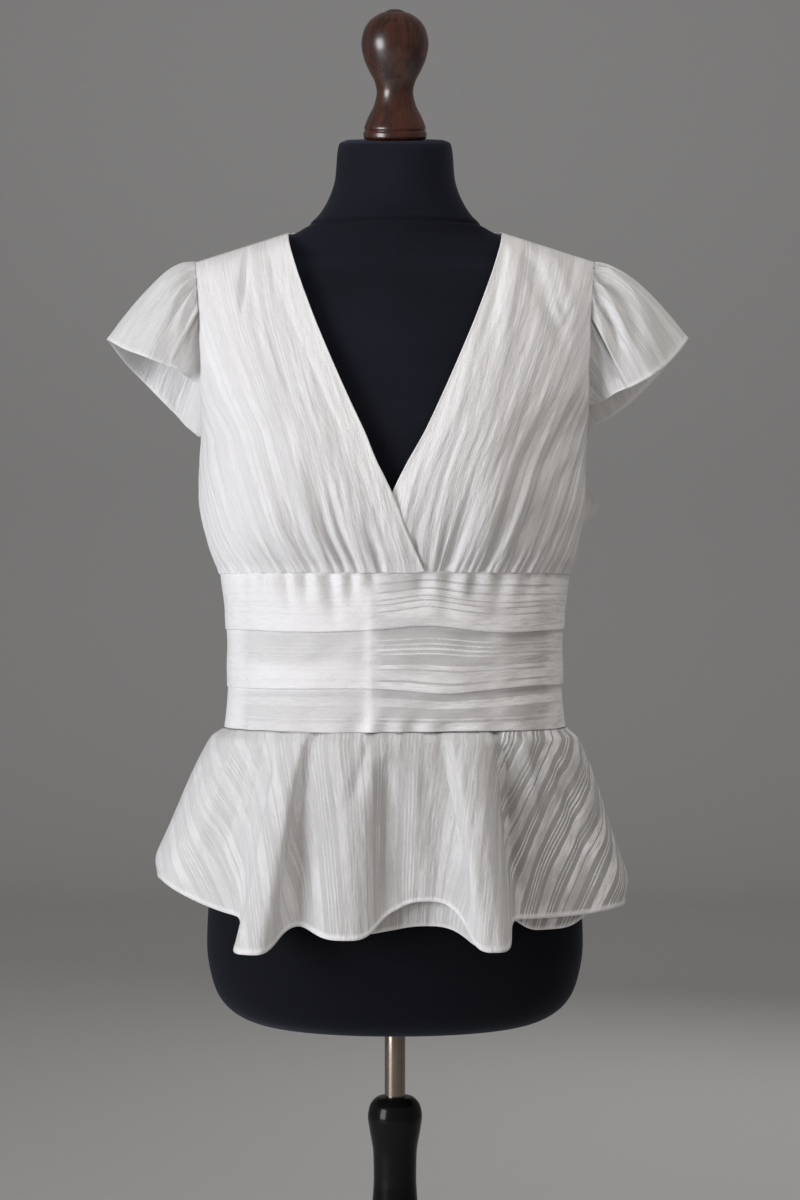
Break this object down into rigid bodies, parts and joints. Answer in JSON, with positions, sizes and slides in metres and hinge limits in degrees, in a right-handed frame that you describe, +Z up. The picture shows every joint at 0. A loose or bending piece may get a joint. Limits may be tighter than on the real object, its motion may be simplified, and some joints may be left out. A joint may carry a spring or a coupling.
{
  "type": "peplum top on a dress form with a stand",
  "caption": "Wrap-front peplum top with a V neck, gathered bust, tucked waistband and cap sleeves, worn by a black dress form on a turned post with a round foot.",
  "frame": {"origin": "on the floor, in the middle of the foot's flat underside, on the pole's axis", "axes": "+Z up along the pole, -Y to the front of the top, +X to the viewer's right, which is the wearer's left"},
  "size_m": [0.533, 0.384, 1.5019],
  "materials": {
    "cloth": "white semi-sheer cloth with opaque satin stripes",
    "sheer_cloth": "the same cloth in two loose layers",
    "jersey": "matte black jersey over a hard form",
    "finial_wood": "dark brown varnished wood",
    "pole_steel": "polished steel tube",
    "post_lacquer": "black gloss lacquer on turned wood",
    "foot_lacquer": "black gloss paint"
  },
  "bodies": {
    "stand": {"foot": "foot_lacquer", "post": "post_lacquer"},
    "pole": {"pole": "pole_steel"},
    "torso": {"form": "jersey", "finial": "finial_wood", "front_right": "cloth", "front_left": "cloth", "back": "cloth", "sleeve_right": "cloth", "sleeve_left": "cloth", "band_front": "cloth", "band_back": "cloth", "peplum_front": "sheer_cloth", "peplum_back": "sheer_cloth", "under_front": "sheer_cloth", "under_back": "sheer_cloth"}
  },
  "joints": [
    {"name": "height_slide", "type": "slide", "parent": "stand", "child": "pole", "axis": [0, 0, 1], "range_m": [-0.05, 0.25]},
    {"name": "turn", "type": "hinge", "parent": "pole", "child": "torso", "pos_m": [0, 0, 0.6], "axis": [0, 0, 1], "continuous": true}
  ]
}
